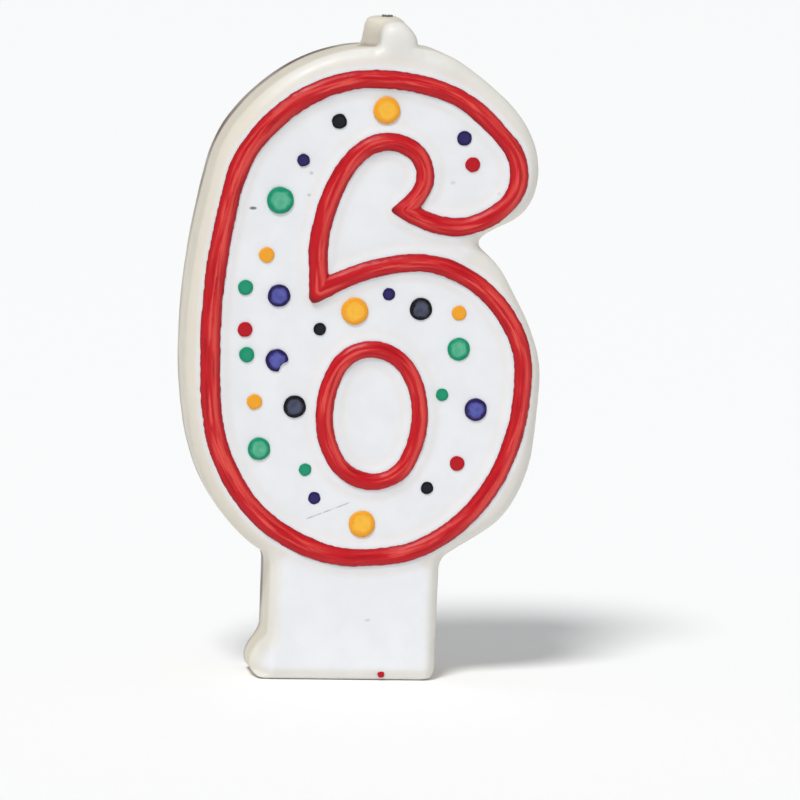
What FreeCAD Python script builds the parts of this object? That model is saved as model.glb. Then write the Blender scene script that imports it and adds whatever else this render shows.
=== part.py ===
import FreeCAD, Part
import Sketcher
import math
import os

# Number birthday candle, the numeral six.
# Frame: +Z up the candle, the decorated front faces -Y, +X is to the right of
# the numeral as it is read. The origin is the centre of the stem's bottom face.

os.makedirs("parts", exist_ok=True)
doc = FreeCAD.newDocument("numeral_candle")
V = FreeCAD.Vector

# ---------------------------------------------------------------- sizes (mm)
SIZES = [
    ("slab_thickness", 10.0, "front face to back face of the casting"),
    ("front_round", 0.8, "rounding of the front edge"),
    ("back_round", 0.5, "rounding of the back edge"),
    ("stem_width", 20.4, "stem that is pushed into the cake"),
    ("stem_corner", 1.5, "rounded lower right corner of the stem"),
    ("stem_shoulder", 13.4, "height at which the stem begins to widen into the numeral"),
    ("foot_lip_reach", 1.9, "how far the mould lip sticks out at the left foot"),
    ("foot_lip_rise", 5.6, "height at which the mould lip meets the stem"),
    ("foot_lip_round", 1.8, "rounded toe of the mould lip"),
    ("nub_across", 2.3, "wick stub's axis, to the right of the middle"),
    ("nub_base_radius", 3.4, "wick stub where it leaves the slab"),
    ("nub_top_radius", 2.5, "wick stub at its top"),
    ("nub_foot", 73.6, "height at which the stub's cone starts, inside the slab"),
    ("nub_rise", 5.4, "length of the stub's cone"),
    ("nub_round", 0.9, "rounding of the stub's top edge"),
    ("wick_diameter", 1.4, "braided cotton wick and the bore around it"),
    ("wick_proud", 0.2, "how far the trimmed wick stands out of the stub"),
    ("bead_width", 2.2, "red outline bead, across"),
    ("ring_width", 2.0, "red ring around the counter, across"),
    ("bead_height", 0.9, "red bead and ring, off the face"),
    ("dot_large", 3.2, "diameter of the largest dots"),
    ("dot_medium", 2.7, "diameter of the medium dots"),
    ("dot_small", 1.8, "diameter of the small dots"),
    ("dot_tiny", 1.5, "diameter of the tiny dots"),
    ("dot_dome", 0.12, "height of a dot as a share of its diameter"),
]

sheet = doc.addObject("Spreadsheet::Sheet", "Sizes")
for row, (alias, value, meaning) in enumerate(SIZES, start=1):
    sheet.set("A%d" % row, meaning)
    sheet.set("B%d" % row, "%g" % value)
    sheet.setAlias("B%d" % row, alias)
doc.recompute()


def size(alias):
    """The value of one driving dimension."""
    return float(sheet.get(alias))


# ------------------------------------------------------- outlines of the six
# A station is a point (x, z) with the direction of travel in degrees, which is
# measured from +X towards +Z. A fourth number is the direction in which a
# pointed corner is left. Two tangent arcs join each station to the next.
half_stem = size("stem_width") / 2
corner = size("stem_corner")
toe = size("foot_lip_round")
shoulder = size("stem_shoulder")
reach_out = size("foot_lip_reach")
lip_top = size("foot_lip_rise")
NUMERAL_STATIONS = [
    (0.6, 75.5, 0), (7.0, 75.4, -12), (15.8, 70.2, -40), (20.5, 61.0, -90),
    (17.4, 55.2, -153), (14.0, 53.3, -143), (14.0, 51.9, -37), (19.3, 44.4, -62),
    (21.6, 36.0, -92), (18.8, 21.5, -120), (11.2, 15.3, -150),
]
# The lip's two flank stations are shares of its reach and of its rise above the toe.
flank_rise = lip_top - toe
STEM_STATIONS = [
    (half_stem, shoulder, -90), (half_stem, corner, -90), (half_stem - corner, 0, 180),
    (toe - half_stem - reach_out, 0, 180), (-half_stem - reach_out, toe, 90),
    (-half_stem - 0.76 * reach_out, toe + 0.40 * flank_rise, 60),
    (-half_stem - 0.18 * reach_out, toe + 0.79 * flank_rise, 50),
    (-half_stem, lip_top, 90), (-half_stem, shoulder, 90),
]
BACK_STATIONS = [
    (-11.2, 15.3, 148), (-17.7, 22.6, 118), (-21.0, 40.0, 90), (-19.6, 54.5, 79),
    (-15.8, 66.5, 54), (-7.0, 73.8, 24),
]
CASTING_STATIONS = NUMERAL_STATIONS + STEM_STATIONS + BACK_STATIONS
BEAD_STATIONS = [
    (0.5, 71.9, 0), (13.4, 67.8, -42), (18.0, 60.8, -90), (13.4, 55.15, -158),
    (4.5, 56.5, 148, 42), (6.75, 61.0, 97), (2.3, 64.5, 180), (-3.0, 60.8, 241),
    (-5.6, 52.8, 263), (-5.4, 46.8, -86, 27), (6.4, 50.2, 0), (14.25, 47.1, -40),
    (19.35, 37.0, -90), (16.8, 25.1, -116), (8.6, 16.55, -152), (0.0, 14.8, 180),
    (-9.4, 17.9, 148), (-15.9, 25.6, 115), (-18.2, 41.0, 90), (-16.9, 55.0, 80),
    (-13.7, 64.2, 54), (-6.0, 70.5, 25),
]
COUNTER_STATIONS = [(1.1, 39.8, 0), (7.1, 32.0, -90), (1.7, 23.95, 180), (-4.35, 31.9, 90)]

# Dots of coloured wax, from the top of the numeral down: colour, size, x, z.
DOTS = [
    ("yellow", "large", 1.9, 68.2), ("black", "small", -3.7, 66.8),
    ("blue", "small", 11.3, 65.1), ("blue", "tiny", -7.8, 62.1),
    ("red", "small", 12.4, 62.0), ("green", "large", -10.4, 57.3),
    ("yellow", "small", -11.8, 50.8), ("green", "small", -14.2, 46.9),
    ("blue", "medium", -10.2, 46.0), ("blue", "tiny", 2.9, 46.4),
    ("yellow", "large", -1.1, 44.3), ("black", "medium", 6.8, 44.7),
    ("yellow", "small", 11.4, 44.3), ("red", "small", -14.1, 41.9),
    ("black", "tiny", -5.2, 42.1), ("green", "medium", 11.5, 40.0),
    ("green", "small", -13.8, 38.9), ("blue", "medium", -10.2, 38.3),
    ("green", "tiny", 9.7, 34.5), ("yellow", "small", -12.7, 33.3),
    ("black", "medium", -7.9, 32.8), ("blue", "medium", 13.8, 32.8),
    ("green", "medium", -12.0, 27.7), ("red", "small", 11.8, 26.3),
    ("green", "tiny", -6.4, 25.3), ("black", "tiny", 8.3, 23.3),
    ("blue", "tiny", -5.2, 21.9), ("yellow", "large", 0.6, 18.9),
]


def heading(degrees):
    """Unit direction in the sketch plane."""
    return V(math.cos(math.radians(degrees)), math.sin(math.radians(degrees)), 0)


def meeting_point(start, leave, end, arrive):
    """Where two tangent arcs from start to end meet."""
    chord = end - start
    both = leave + arrive
    along = chord.dot(both)
    spread = 2 * (1 - leave.dot(arrive))
    if spread < 1e-9:
        reach = chord.dot(chord) / (4 * chord.dot(arrive))
    else:
        reach = (math.sqrt(along ** 2 + spread * chord.dot(chord)) - along) / spread
    return (start + end + (leave - arrive) * reach) * 0.5


def tangent_arc(start, leave, end):
    """The arc, or straight line, that leaves start along leave and ends at end."""
    chord = end - start
    side = V(-leave.y, leave.x, 0)
    bulge = 2 * chord.dot(side)
    if abs(bulge) < 1e-7:
        return Part.LineSegment(start, end)
    radius = chord.dot(chord) / bulge
    centre = start + side * radius
    half_way = (start + end) * 0.5 - centre
    middle = centre + half_way.normalize() * abs(radius)
    return Part.Arc(start, middle, end)


def outline_curves(stations):
    """Closed chain of arcs through the stations."""
    curves = []
    following = stations[1:] + stations[:1]
    for here, there in zip(stations, following):
        start = V(here[0], here[1], 0)
        end = V(there[0], there[1], 0)
        leave = heading(here[-1])
        arrive = heading(there[2])
        middle = meeting_point(start, leave, end, arrive)
        curves.append(tangent_arc(start, leave, middle))
        # The second arc is the tangent arc walked backwards from the end.
        back = tangent_arc(end, arrive * -1, middle)
        if isinstance(back, Part.LineSegment):
            curves.append(Part.LineSegment(middle, end))
        else:
            half_way = back.value((back.FirstParameter + back.LastParameter) / 2)
            curves.append(Part.Arc(middle, half_way, end))
    return curves


def origin_plane(body, role):
    """One of a body's own origin planes."""
    for feature in body.Origin.OriginFeatures:
        if feature.Role == role:
            return feature
    raise RuntimeError("no plane " + role)


def new_sketch(body, name, role):
    """Sketch on one of the body's origin planes."""
    sketch = body.newObject("Sketcher::SketchObject", name)
    sketch.AttachmentSupport = [(origin_plane(body, role), "")]
    sketch.MapMode = "FlatFace"
    return sketch


def new_body(name):
    body = doc.addObject("PartDesign::Body", name)
    body.Label = name
    return body


def rim_edges(shape, depth):
    """Names of the edges that lie on the plane y = depth."""
    names = []
    for number, edge in enumerate(shape.Edges, start=1):
        box = edge.BoundBox
        if abs(box.YMin - depth) < 1e-4 and abs(box.YMax - depth) < 1e-4:
            names.append("Edge%d" % number)
    return names


# ------------------------------------------------------------------ wax body
def make_wax_body():
    body = new_body("wax_body")

    outline = new_sketch(body, "casting_outline", "XZ_Plane")
    outline.addGeometry(outline_curves(CASTING_STATIONS), False)
    slab = body.newObject("PartDesign::Pad", "slab")
    slab.Profile = outline
    slab.Midplane = True
    slab.setExpression("Length", "Sizes.slab_thickness")
    doc.recompute()

    nub = body.newObject("PartDesign::AdditiveCone", "nub")
    nub.AttachmentSupport = [(origin_plane(body, "XY_Plane"), "")]
    nub.MapMode = "FlatFace"
    nub.setExpression("AttachmentOffset.Base.x", "Sizes.nub_across")
    nub.setExpression("AttachmentOffset.Base.z", "Sizes.nub_foot")
    nub.setExpression("Radius1", "Sizes.nub_base_radius")
    nub.setExpression("Radius2", "Sizes.nub_top_radius")
    nub.setExpression("Height", "Sizes.nub_rise")
    doc.recompute()

    half_depth = size("slab_thickness") / 2
    front = add_fillet(body, nub, "front_rounding", rim_edges(nub.Shape, -half_depth), "front_round")
    back = add_fillet(body, front, "back_rounding", rim_edges(front.Shape, half_depth), "back_round")

    nub_top = size("nub_foot") + size("nub_rise")
    top_edges = []
    for number, edge in enumerate(back.Shape.Edges, start=1):
        if abs(edge.BoundBox.ZMin - nub_top) < 1e-4:
            top_edges.append("Edge%d" % number)
    rounded = add_fillet(body, back, "nub_rounding", top_edges, "nub_round")

    bore_sketch = new_sketch(body, "bore_outline", "XY_Plane")
    bore_sketch.addGeometry(
        Part.Circle(V(size("nub_across"), 0, 0), V(0, 0, 1), size("wick_diameter") / 2), False)
    place = bore_sketch.addConstraint(
        Sketcher.Constraint("DistanceX", -1, 1, 0, 3, size("nub_across")))
    bore_sketch.setExpression("Constraints[%d]" % place, "Sizes.nub_across")
    bore_sketch.addConstraint(Sketcher.Constraint("PointOnObject", 0, 3, -1))
    across = bore_sketch.addConstraint(
        Sketcher.Constraint("Diameter", 0, size("wick_diameter")))
    bore_sketch.setExpression("Constraints[%d]" % across, "Sizes.wick_diameter")
    bore = body.newObject("PartDesign::Pocket", "wick_bore")
    bore.Profile = bore_sketch
    bore.Type = "ThroughAll"
    bore.Reversed = True
    doc.recompute()
    bored_out = rounded.Shape.Volume - bore.Shape.Volume
    expected = math.pi * size("wick_diameter") ** 2 / 4 * nub_top
    if abs(bored_out - expected) > 0.02 * expected:
        raise RuntimeError("the wick's bore took %.2f mm3, not %.2f" % (bored_out, expected))
    return body


def add_fillet(body, base, name, edges, alias):
    """Rounding of a body's edges by a size from the sheet."""
    fillet = body.newObject("PartDesign::Fillet", name)
    fillet.Base = (base, edges)
    fillet.setExpression("Radius", "Sizes." + alias)
    doc.recompute()
    return fillet


# ---------------------------------------------------------------- wick, beads
def make_wick():
    """Straight wick from the stem's bottom face to just above the stub."""
    wick = doc.addObject("Part::Cylinder", "wick")
    wick.Label = "wick"
    wick.setExpression("Radius", "Sizes.wick_diameter / 2")
    wick.setExpression("Height", "Sizes.nub_foot + Sizes.nub_rise + Sizes.wick_proud")
    wick.setExpression("Placement.Base.x", "Sizes.nub_across")
    return wick


def make_bead(name, stations, width):
    """Raised bead of red wax along a closed line on the front face."""
    body = new_body(name)
    face = -size("slab_thickness") / 2

    route = new_sketch(body, name + "_route", "XZ_Plane")
    route.setExpression("AttachmentOffset.Base.z", "Sizes.slab_thickness / 2")
    route.addGeometry(outline_curves(stations), False)

    # The section is a segment of a circle, flat side on the face.
    half = size(width) / 2
    rise = size("bead_height")
    across, up = stations[0][0], stations[0][1]
    section = new_sketch(body, name + "_section", "YZ_Plane")
    section.AttachmentOffset = FreeCAD.Placement(V(0, 0, across), FreeCAD.Rotation())
    section.addGeometry([
        Part.Arc(V(face, up - half, 0), V(face - rise, up, 0), V(face, up + half, 0)),
        Part.LineSegment(V(face, up + half, 0), V(face, up - half, 0)),
    ], False)
    foot = section.addConstraint(Sketcher.Constraint("DistanceY", 1, 2, 1, 1, 2 * half))
    section.setExpression("Constraints[%d]" % foot, "Sizes." + width)
    doc.recompute()

    bead = body.newObject("PartDesign::AdditivePipe", name + "_pipe")
    bead.Profile = section
    bead.Spine = (route, ["Edge%d" % n for n in range(1, len(route.Shape.Edges) + 1)])
    bead.Transition = "Right corner"
    doc.recompute()
    print("%s is %.1f mm long" % (name, route.Shape.Length))
    return body


def make_dot(name, dot_size, across, up):
    """Domed dot: a cap of a sphere, flat side on the front face."""
    dot = doc.addObject("Part::Sphere", name)
    dot.Label = name
    diameter = "(Sizes.dot_%s * 1 mm)" % dot_size
    rise = "(%s * Sizes.dot_dome)" % diameter
    dot.setExpression("Radius", "(%s ^ 2 / 4 + %s ^ 2) / (2 * %s)" % (diameter, rise, rise))
    dot.setExpression("Angle1", "asin((Radius - %s) / Radius)" % rise)
    dot.Angle2 = 90
    # The sphere's own +Z axis points out of the front face.
    dot.Placement = FreeCAD.Placement(V(across, 0, up), FreeCAD.Rotation(V(1, 0, 0), 90))
    dot.setExpression("Placement.Base.y", "Radius - %s - Sizes.slab_thickness * 0.5 mm" % rise)
    return dot


make_wax_body()
make_wick()
make_bead("outline_bead", BEAD_STATIONS, "bead_width")
make_bead("counter_bead", COUNTER_STATIONS, "ring_width")
for number, (colour, dot_size, across, up) in enumerate(DOTS, start=1):
    make_dot("dot_%02d_%s_%s" % (number, colour, dot_size), dot_size, across, up)
doc.recompute()

# ------------------------------------------------------------- check, export
for item in doc.Objects:
    if "Invalid" in item.State or "Error" in item.State:
        raise RuntimeError("%s failed: %s" % (item.Label, item.State))

pieces = [item for item in doc.Objects
          if item.TypeId in ("PartDesign::Body", "Part::Cylinder", "Part::Sphere")]
for piece in pieces:
    shape = piece.Shape
    if shape.isNull() or not shape.isValid() or len(shape.Solids) != 1:
        raise RuntimeError("bad shape: " + piece.Label)
    shape.exportStep("parts/%s.step" % piece.Label)
    box = shape.BoundBox
    print("%-24s %9.2f mm3  x %.2f..%.2f  y %.2f..%.2f  z %.2f..%.2f" % (
        piece.Label, shape.Volume, box.XMin, box.XMax, box.YMin, box.YMax, box.ZMin, box.ZMax))
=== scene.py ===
import math
import random

import bmesh
import bpy
from mathutils import Matrix, Vector, kdtree, noise


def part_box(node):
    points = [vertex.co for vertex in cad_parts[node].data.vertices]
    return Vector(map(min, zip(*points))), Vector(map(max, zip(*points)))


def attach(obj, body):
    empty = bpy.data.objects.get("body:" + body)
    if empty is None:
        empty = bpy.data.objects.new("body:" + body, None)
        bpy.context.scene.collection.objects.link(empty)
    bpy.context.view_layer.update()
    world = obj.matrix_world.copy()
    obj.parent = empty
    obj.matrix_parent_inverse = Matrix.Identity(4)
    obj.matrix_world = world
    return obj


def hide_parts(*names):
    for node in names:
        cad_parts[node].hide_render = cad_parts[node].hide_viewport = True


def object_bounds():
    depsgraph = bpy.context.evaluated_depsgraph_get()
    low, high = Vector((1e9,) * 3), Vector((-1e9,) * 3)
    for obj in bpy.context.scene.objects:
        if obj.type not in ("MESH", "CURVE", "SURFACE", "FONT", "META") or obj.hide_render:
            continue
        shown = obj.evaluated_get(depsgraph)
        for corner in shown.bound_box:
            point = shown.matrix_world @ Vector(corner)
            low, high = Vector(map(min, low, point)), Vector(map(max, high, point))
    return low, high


bl_info = {
    "name": "Numeral candle",
    "version": (1, 0, 0),
    "blender": (4, 5, 0),
    "location": "View3D > Sidebar > Candle",
    "description": "Moulded wax numeral six with red beads, coloured dots and a braided wick",
    "category": "Object",
}

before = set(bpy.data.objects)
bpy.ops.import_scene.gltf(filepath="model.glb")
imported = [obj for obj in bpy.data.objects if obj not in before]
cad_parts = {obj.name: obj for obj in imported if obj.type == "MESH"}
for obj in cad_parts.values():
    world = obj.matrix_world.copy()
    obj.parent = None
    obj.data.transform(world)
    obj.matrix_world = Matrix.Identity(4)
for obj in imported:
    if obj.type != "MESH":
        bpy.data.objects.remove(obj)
CAD_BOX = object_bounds()

MM = 0.001
BODY = "root"

# A station is a point (x, z) in millimetres on a bead's centre line, with the
# direction of travel in degrees from +X towards +Z. A fourth number is the
# direction in which a pointed corner is left. Two tangent arcs join each
# station to the next, as in the solid model.
OUTLINE_STATIONS = [
    (0.5, 71.9, 0), (13.4, 67.8, -42), (18.0, 60.8, -90), (13.4, 55.15, -158),
    (4.5, 56.5, 148, 42), (6.75, 61.0, 97), (2.3, 64.5, 180), (-3.0, 60.8, 241),
    (-5.6, 52.8, 263), (-5.4, 46.8, -86, 27), (6.4, 50.2, 0), (14.25, 47.1, -40),
    (19.35, 37.0, -90), (16.8, 25.1, -116), (8.6, 16.55, -152), (0.0, 14.8, 180),
    (-9.4, 17.9, 148), (-15.9, 25.6, 115), (-18.2, 41.0, 90), (-16.9, 55.0, 80),
    (-13.7, 64.2, 54), (-6.0, 70.5, 25),
]
COUNTER_STATIONS = [(1.1, 39.8, 0), (7.1, 32.0, -90), (1.7, 23.95, 180), (-4.35, 31.9, 90)]
BEAD_WIDTH = 2.2
# How far from its centre line, in millimetres, a pointed corner keeps its full width.
POINT_REACH = 1.25
# The height of the stub's foot, and the rounded block that squares off its front, in millimetres.
STUB_FOOT = 75.4
STUB_CENTRE = Vector((3.25, -1.7, 75.2))
STUB_RADII = Vector((2.4, 3.3, 3.55))
STUB_SQUARENESS = 3.6
STUB_SLOPE = 0.40
# The foot lip is this much thinner at each face than the slab, in millimetres.
LIP_THINNING = 1.6
# Points nearer to the wick's axis than this, in millimetres, are the wick's bore, not a rim.
BORE_ZONE = 1.2
CHIPPED_DOT = "dot_18_blue_medium"
# Dots of a larger radius, in millimetres, have a paler middle, partly thinner paint and partly a
# painted highlight, and an even rim.
WORN_AND_LIT_DOT = 1.2
# How far a strand of the braid moves in and out, as a share of its radius.
WEAVE = 0.35
# The camera looks at AIM (x and z in millimetres, in the front face), from these angles.
CAMERA_AZIMUTH, CAMERA_ELEVATION, CAMERA_ROLL = -8.4, 7.2, 2.0
AIM = (4.68, 33.8)
LENS, SENSOR = 300.0, 36.0
# Strength of the surround as light, and as the wall that the camera sees.
ROOM_FILL, ROOM_WALL = 0.46, 0.965
FLOOR_REACH = 6.0
# The scratch runs between two points; a speck is x, z, half width, half height, strength.
SCRATCH = ((-6.3, 19.3), (-0.5, 21.6))
SPECKS = [
    (-13.6, 56.3, 0.50, 0.22, 0.80), (-6.8, 60.6, 0.28, 0.24, 0.30),
    (-7.0, 58.0, 0.26, 0.22, 0.28), (10.1, 59.8, 0.35, 0.25, 0.18),
    (1.7, 7.3, 0.40, 0.20, 0.20), (-3.4, 36.8, 0.22, 0.22, 0.20),
]


def linear(hex_colour):
    """An sRGB hex colour as linear red, green, blue."""
    channels = [int(hex_colour[i:i + 2], 16) / 255 for i in (1, 3, 5)]
    return [c / 12.92 if c <= 0.04045 else ((c + 0.055) / 1.055) ** 2.4 for c in channels]


def rgba(colour):
    return (*colour, 1.0)


# ---------------------------------------------------------------- user values
def length_value(name, description, millimetres):
    return bpy.props.FloatProperty(
        name=name, description=description, default=millimetres * MM, min=0.0,
        subtype="DISTANCE", unit="LENGTH", precision=5)


def colour_value(name, description, hex_colour):
    return bpy.props.FloatVectorProperty(
        name=name, description=description, default=linear(hex_colour), size=3,
        subtype="COLOR", min=0.0, max=1.0)


class CandleSizes(bpy.types.PropertyGroup):
    wax_voxel: length_value("Wax grain", "Mesh size of the white casting", 0.32)
    bead_voxel: length_value("Bead grain", "Mesh size of the red beads", 0.16)
    bead_swell: length_value("Bead foot", "How far the white wax rises at a bead's foot", 0.20)
    wax_wave: length_value("Hand-cast waviness", "Slow unevenness of the casting", 0.08)
    back_sink: length_value("Back sink", "Shrinkage hollow in the poured back", 0.45)
    edge_round: length_value("Pillowed edge", "How far the front face falls away at its rim", 0.55)
    bead_wobble: length_value("Bead wobble", "How far the bead's edge wanders", 0.11)
    dot_embed: length_value("Dot embed", "How deep a dot's foot is sunk", 0.25)
    wick_strand: length_value("Wick strand", "Radius of one strand of the braid", 0.2)
    wick_pitch: length_value("Braid pitch", "Length of one turn of a strand", 4.0)
    wick_trim: length_value("Wick trim", "How far each end of the wick is trimmed back", 0.14)
    camera_distance: length_value("Camera distance", "From the lens to the front face", 791.0)


class CandleColours(bpy.types.PropertyGroup):
    wax: colour_value("White wax", "Pigmented paraffin of the front face", "#E8EAEC")
    # Painted shade: the cream painted on the side walls, the back and the front's rim.
    wax_side_shade: colour_value("Cream wax", "Paraffin of the side walls", "#D8D1C0")
    # Painted shadow: the brown of the line along the back edge and at the stub's foot.
    painted_edge_shade: colour_value("Parting line", "Grime in the trimmed edge of the back", "#563A30")
    red: colour_value("Red wax", "Brushed red wax of the beads", "#BE0C1A")
    # Painted shade: the deep red at the bead's feet; it also darkens the grooves between the
    # streaks.
    red_dark: colour_value("Deep red", "Where the red wax is thick at the bead's foot", "#7E060D")
    # Thin red: the pale brush streaks, made a painted highlight along the crown and in a stripe
    # beside it.
    red_light: colour_value("Thin red", "Where the brush left the crown thin", "#E85A50")
    # Each light colour is a dot's paler middle, partly thinner paint and partly a painted
    # highlight.
    yellow: colour_value("Yellow", "Yellow dots", "#EA9F28")
    yellow_light: colour_value("Light yellow", "Worn centre of the yellow dots", "#F4BA40")
    green: colour_value("Green", "Green dots", "#0A8B66")
    green_light: colour_value("Light green", "Worn centre of the green dots", "#60B592")
    blue: colour_value("Navy", "Navy dots", "#21134F")
    blue_light: colour_value("Light navy", "Worn centre of the navy dots", "#5A5EAC")
    black: colour_value("Black", "Black dots", "#06050A")
    black_light: colour_value("Grey", "Worn centre of the black dots", "#4D5166")
    dot_red: colour_value("Dot red", "Red dots", "#B30E1C")
    dot_red_light: colour_value("Light dot red", "Worn centre of the red dots", "#BE2A30")
    cotton: colour_value("Cotton", "Waxed cotton of the wick", "#D9D2C0")
    cotton_tip: colour_value("Trimmed tip", "Greyed end of the wick", "#6E6C66")
    paper: colour_value("Floor", "Plain pale floor", "#FDFDFD")


def sizes():
    return bpy.context.scene.candle_sizes


def colours():
    return bpy.context.scene.candle_colours


# --------------------------------------------------------------- node helpers
# The kinds of node that repeat, and their settings: sums, a soft-edged step and colour mixes.
MATH, RANGE, MIX = "ShaderNodeMath", "ShaderNodeMapRange", "ShaderNodeMix"
NOISE, BUMP, VECTOR = "ShaderNodeTexNoise", "ShaderNodeBump", "ShaderNodeVectorMath"
SPLIT, JOIN = "ShaderNodeSeparateXYZ", "ShaderNodeCombineXYZ"
PLUS, MINUS = {"operation": "ADD"}, {"operation": "SUBTRACT"}
TIMES, TIMES_PLUS = {"operation": "MULTIPLY"}, {"operation": "MULTIPLY_ADD"}
SMOOTH = {"interpolation_type": "SMOOTHSTEP"}
TINT = {"data_type": "RGBA"}
SHADE = {"data_type": "RGBA", "blend_type": "MULTIPLY"}
# The scale of a pattern in object coordinates is per metre: 1000 gives patches of 1 mm.


def add(tree, kind, settings=None, links=()):
    """Adds a node. settings are its attributes, links its inputs by name or in order.

    An input is given a socket, which is linked, or a value.
    """
    node = tree.nodes.new(kind)
    for name, value in (settings or {}).items():
        setattr(node, name, value)
    for key, value in (links if isinstance(links, dict) else dict(enumerate(links))).items():
        if isinstance(value, bpy.types.NodeSocket):
            tree.links.new(value, node.inputs[key])
        else:
            node.inputs[key].default_value = value
    return node


def new_material(name):
    """A material and its empty tree."""
    material = bpy.data.materials.new(name)
    material.use_nodes = True
    material.node_tree.nodes.clear()
    return material, material.node_tree


def finish_material(material, inputs):
    """Ends a material's tree with its shader, which gets these inputs, and its output."""
    shader = add(material.node_tree, "ShaderNodeBsdfPrincipled", links=inputs)
    add(material.node_tree, "ShaderNodeOutputMaterial", links=[shader.outputs[0]])
    return material


# ------------------------------------------------------------------ materials
def paraffin_wax():
    """White pigmented paraffin, cast and hand-trimmed: satin, soft inside, with painted shade that
    makes the side walls creamy.
    """
    material, tree = new_material("paraffin_wax")
    c = colours()
    place = add(tree, "ShaderNodeTexCoord").outputs["Object"]
    facing = add(tree, "ShaderNodeAttribute", {"attribute_name": "side"}).outputs["Fac"]
    gap = add(tree, "ShaderNodeAttribute", {"attribute_name": "bead_gap"}).outputs["Fac"]
    painted_edge_shade = add(tree, "ShaderNodeAttribute", {"attribute_name": "painted_edge_shade"}).outputs["Fac"]

    # Cloudy whiteness, 3 mm across, as pigment settles in the mould.
    clouds = add(tree, NOISE, links={"Vector": place, "Scale": 330.0, "Detail": 3.0}).outputs[0]
    # Painted shade: where the side attribute is high, the wax is mixed towards the cream of the
    # side walls.
    colour = add(tree, MIX, TINT, {0: facing, 6: rgba(c.wax), 7: rgba(c.wax_side_shade)}).outputs[2]
    cloud_tone = add(tree, RANGE, SMOOTH, [clouds, 0.3, 0.7, 0.965, 1.0]).outputs[0]
    colour = add(tree, MIX, SHADE, {0: 1.0, 6: colour, 7: cloud_tone}).outputs[2]

    # A faint warm tint beside each bead: painted shade where the wax slopes at the bead's foot.
    rising = add(tree, RANGE, SMOOTH, [gap, 0.35, 0.9]).outputs[0]
    falling = add(tree, RANGE, SMOOTH, [gap, 0.9, 1.7, 1.0, 0.0]).outputs[0]
    bead_shade_band = add(tree, MATH, TIMES, [rising, falling]).outputs[0]
    bead_shade_band = add(tree, MATH, TIMES, [bead_shade_band, 0.22]).outputs[0]
    colour = add(tree, MIX, TINT, {0: bead_shade_band, 6: colour, 7: (0.80, 0.70, 0.62, 1.0)}).outputs[2]

    # Painted shadow in brown along the back edge and at the stub's foot, broken up by noise.
    back_edge_shadow = add(tree, NOISE, links={"Vector": place, "Scale": 160.0, "Detail": 4.0}).outputs[0]
    back_edge_shadow = add(tree, RANGE, SMOOTH, [back_edge_shadow, 0.3, 0.65, 0.55, 1.0]).outputs[0]
    back_edge_shadow = add(tree, MATH, TIMES, [back_edge_shadow, painted_edge_shade]).outputs[0]
    colour = add(tree, MIX, TINT, {0: back_edge_shadow, 6: colour, 7: rgba(c.painted_edge_shade)}).outputs[2]

    # Dark specks of dust pressed into the surface, sparse, up to 0.6 mm across.
    dust = add(tree, "ShaderNodeTexVoronoi", {"feature": "F1"}, {
        "Vector": place, "Scale": 170.0}).outputs[0]
    dust = add(tree, RANGE, SMOOTH, [dust, 0.03, 0.06, 0.5, 0.0]).outputs[0]
    chosen = add(tree, NOISE, links={"Vector": place, "Scale": 90.0}).outputs[0]
    dust = add(tree, MATH, TIMES, [
        dust, add(tree, RANGE, SMOOTH, [chosen, 0.60, 0.66]).outputs[0]]).outputs[0]
    colour = add(tree, MIX, TINT, {0: dust, 6: colour, 7: (0.30, 0.27, 0.26, 1.0)}).outputs[2]

    scratch, speck = surface_marks(tree, place)
    colour = add(tree, MIX, TINT, {
        0: add(tree, MATH, TIMES, [scratch, 0.7]).outputs[0], 6: colour,
        7: (0.33, 0.31, 0.30, 1.0)}).outputs[2]
    colour = add(tree, MIX, TINT, {0: speck, 6: colour, 7: (0.05, 0.05, 0.06, 1.0)}).outputs[2]

    fine = add(tree, NOISE, links={"Vector": place, "Scale": 1500.0, "Detail": 2.0}).outputs[0]
    soft = add(tree, NOISE, links={"Vector": place, "Scale": 420.0, "Detail": 3.0}).outputs[0]
    relief = add(tree, MATH, TIMES_PLUS, [fine, 0.25, soft]).outputs[0]
    relief = add(tree, MATH, MINUS, [relief, scratch]).outputs[0]
    bump = add(tree, BUMP, links={"Height": relief, "Strength": 0.25, "Distance": 0.12 * MM})
    rough = add(tree, RANGE, SMOOTH, [soft, 0.3, 0.7, 0.38, 0.52]).outputs[0]
    return finish_material(material, {
        "Base Color": colour, "Normal": bump.outputs[0], "Roughness": rough, "IOR": 1.44,
        "Subsurface Weight": 0.30, "Subsurface Radius": (1.0, 0.9, 0.75),
        "Subsurface Scale": 1.0 * MM})


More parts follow.
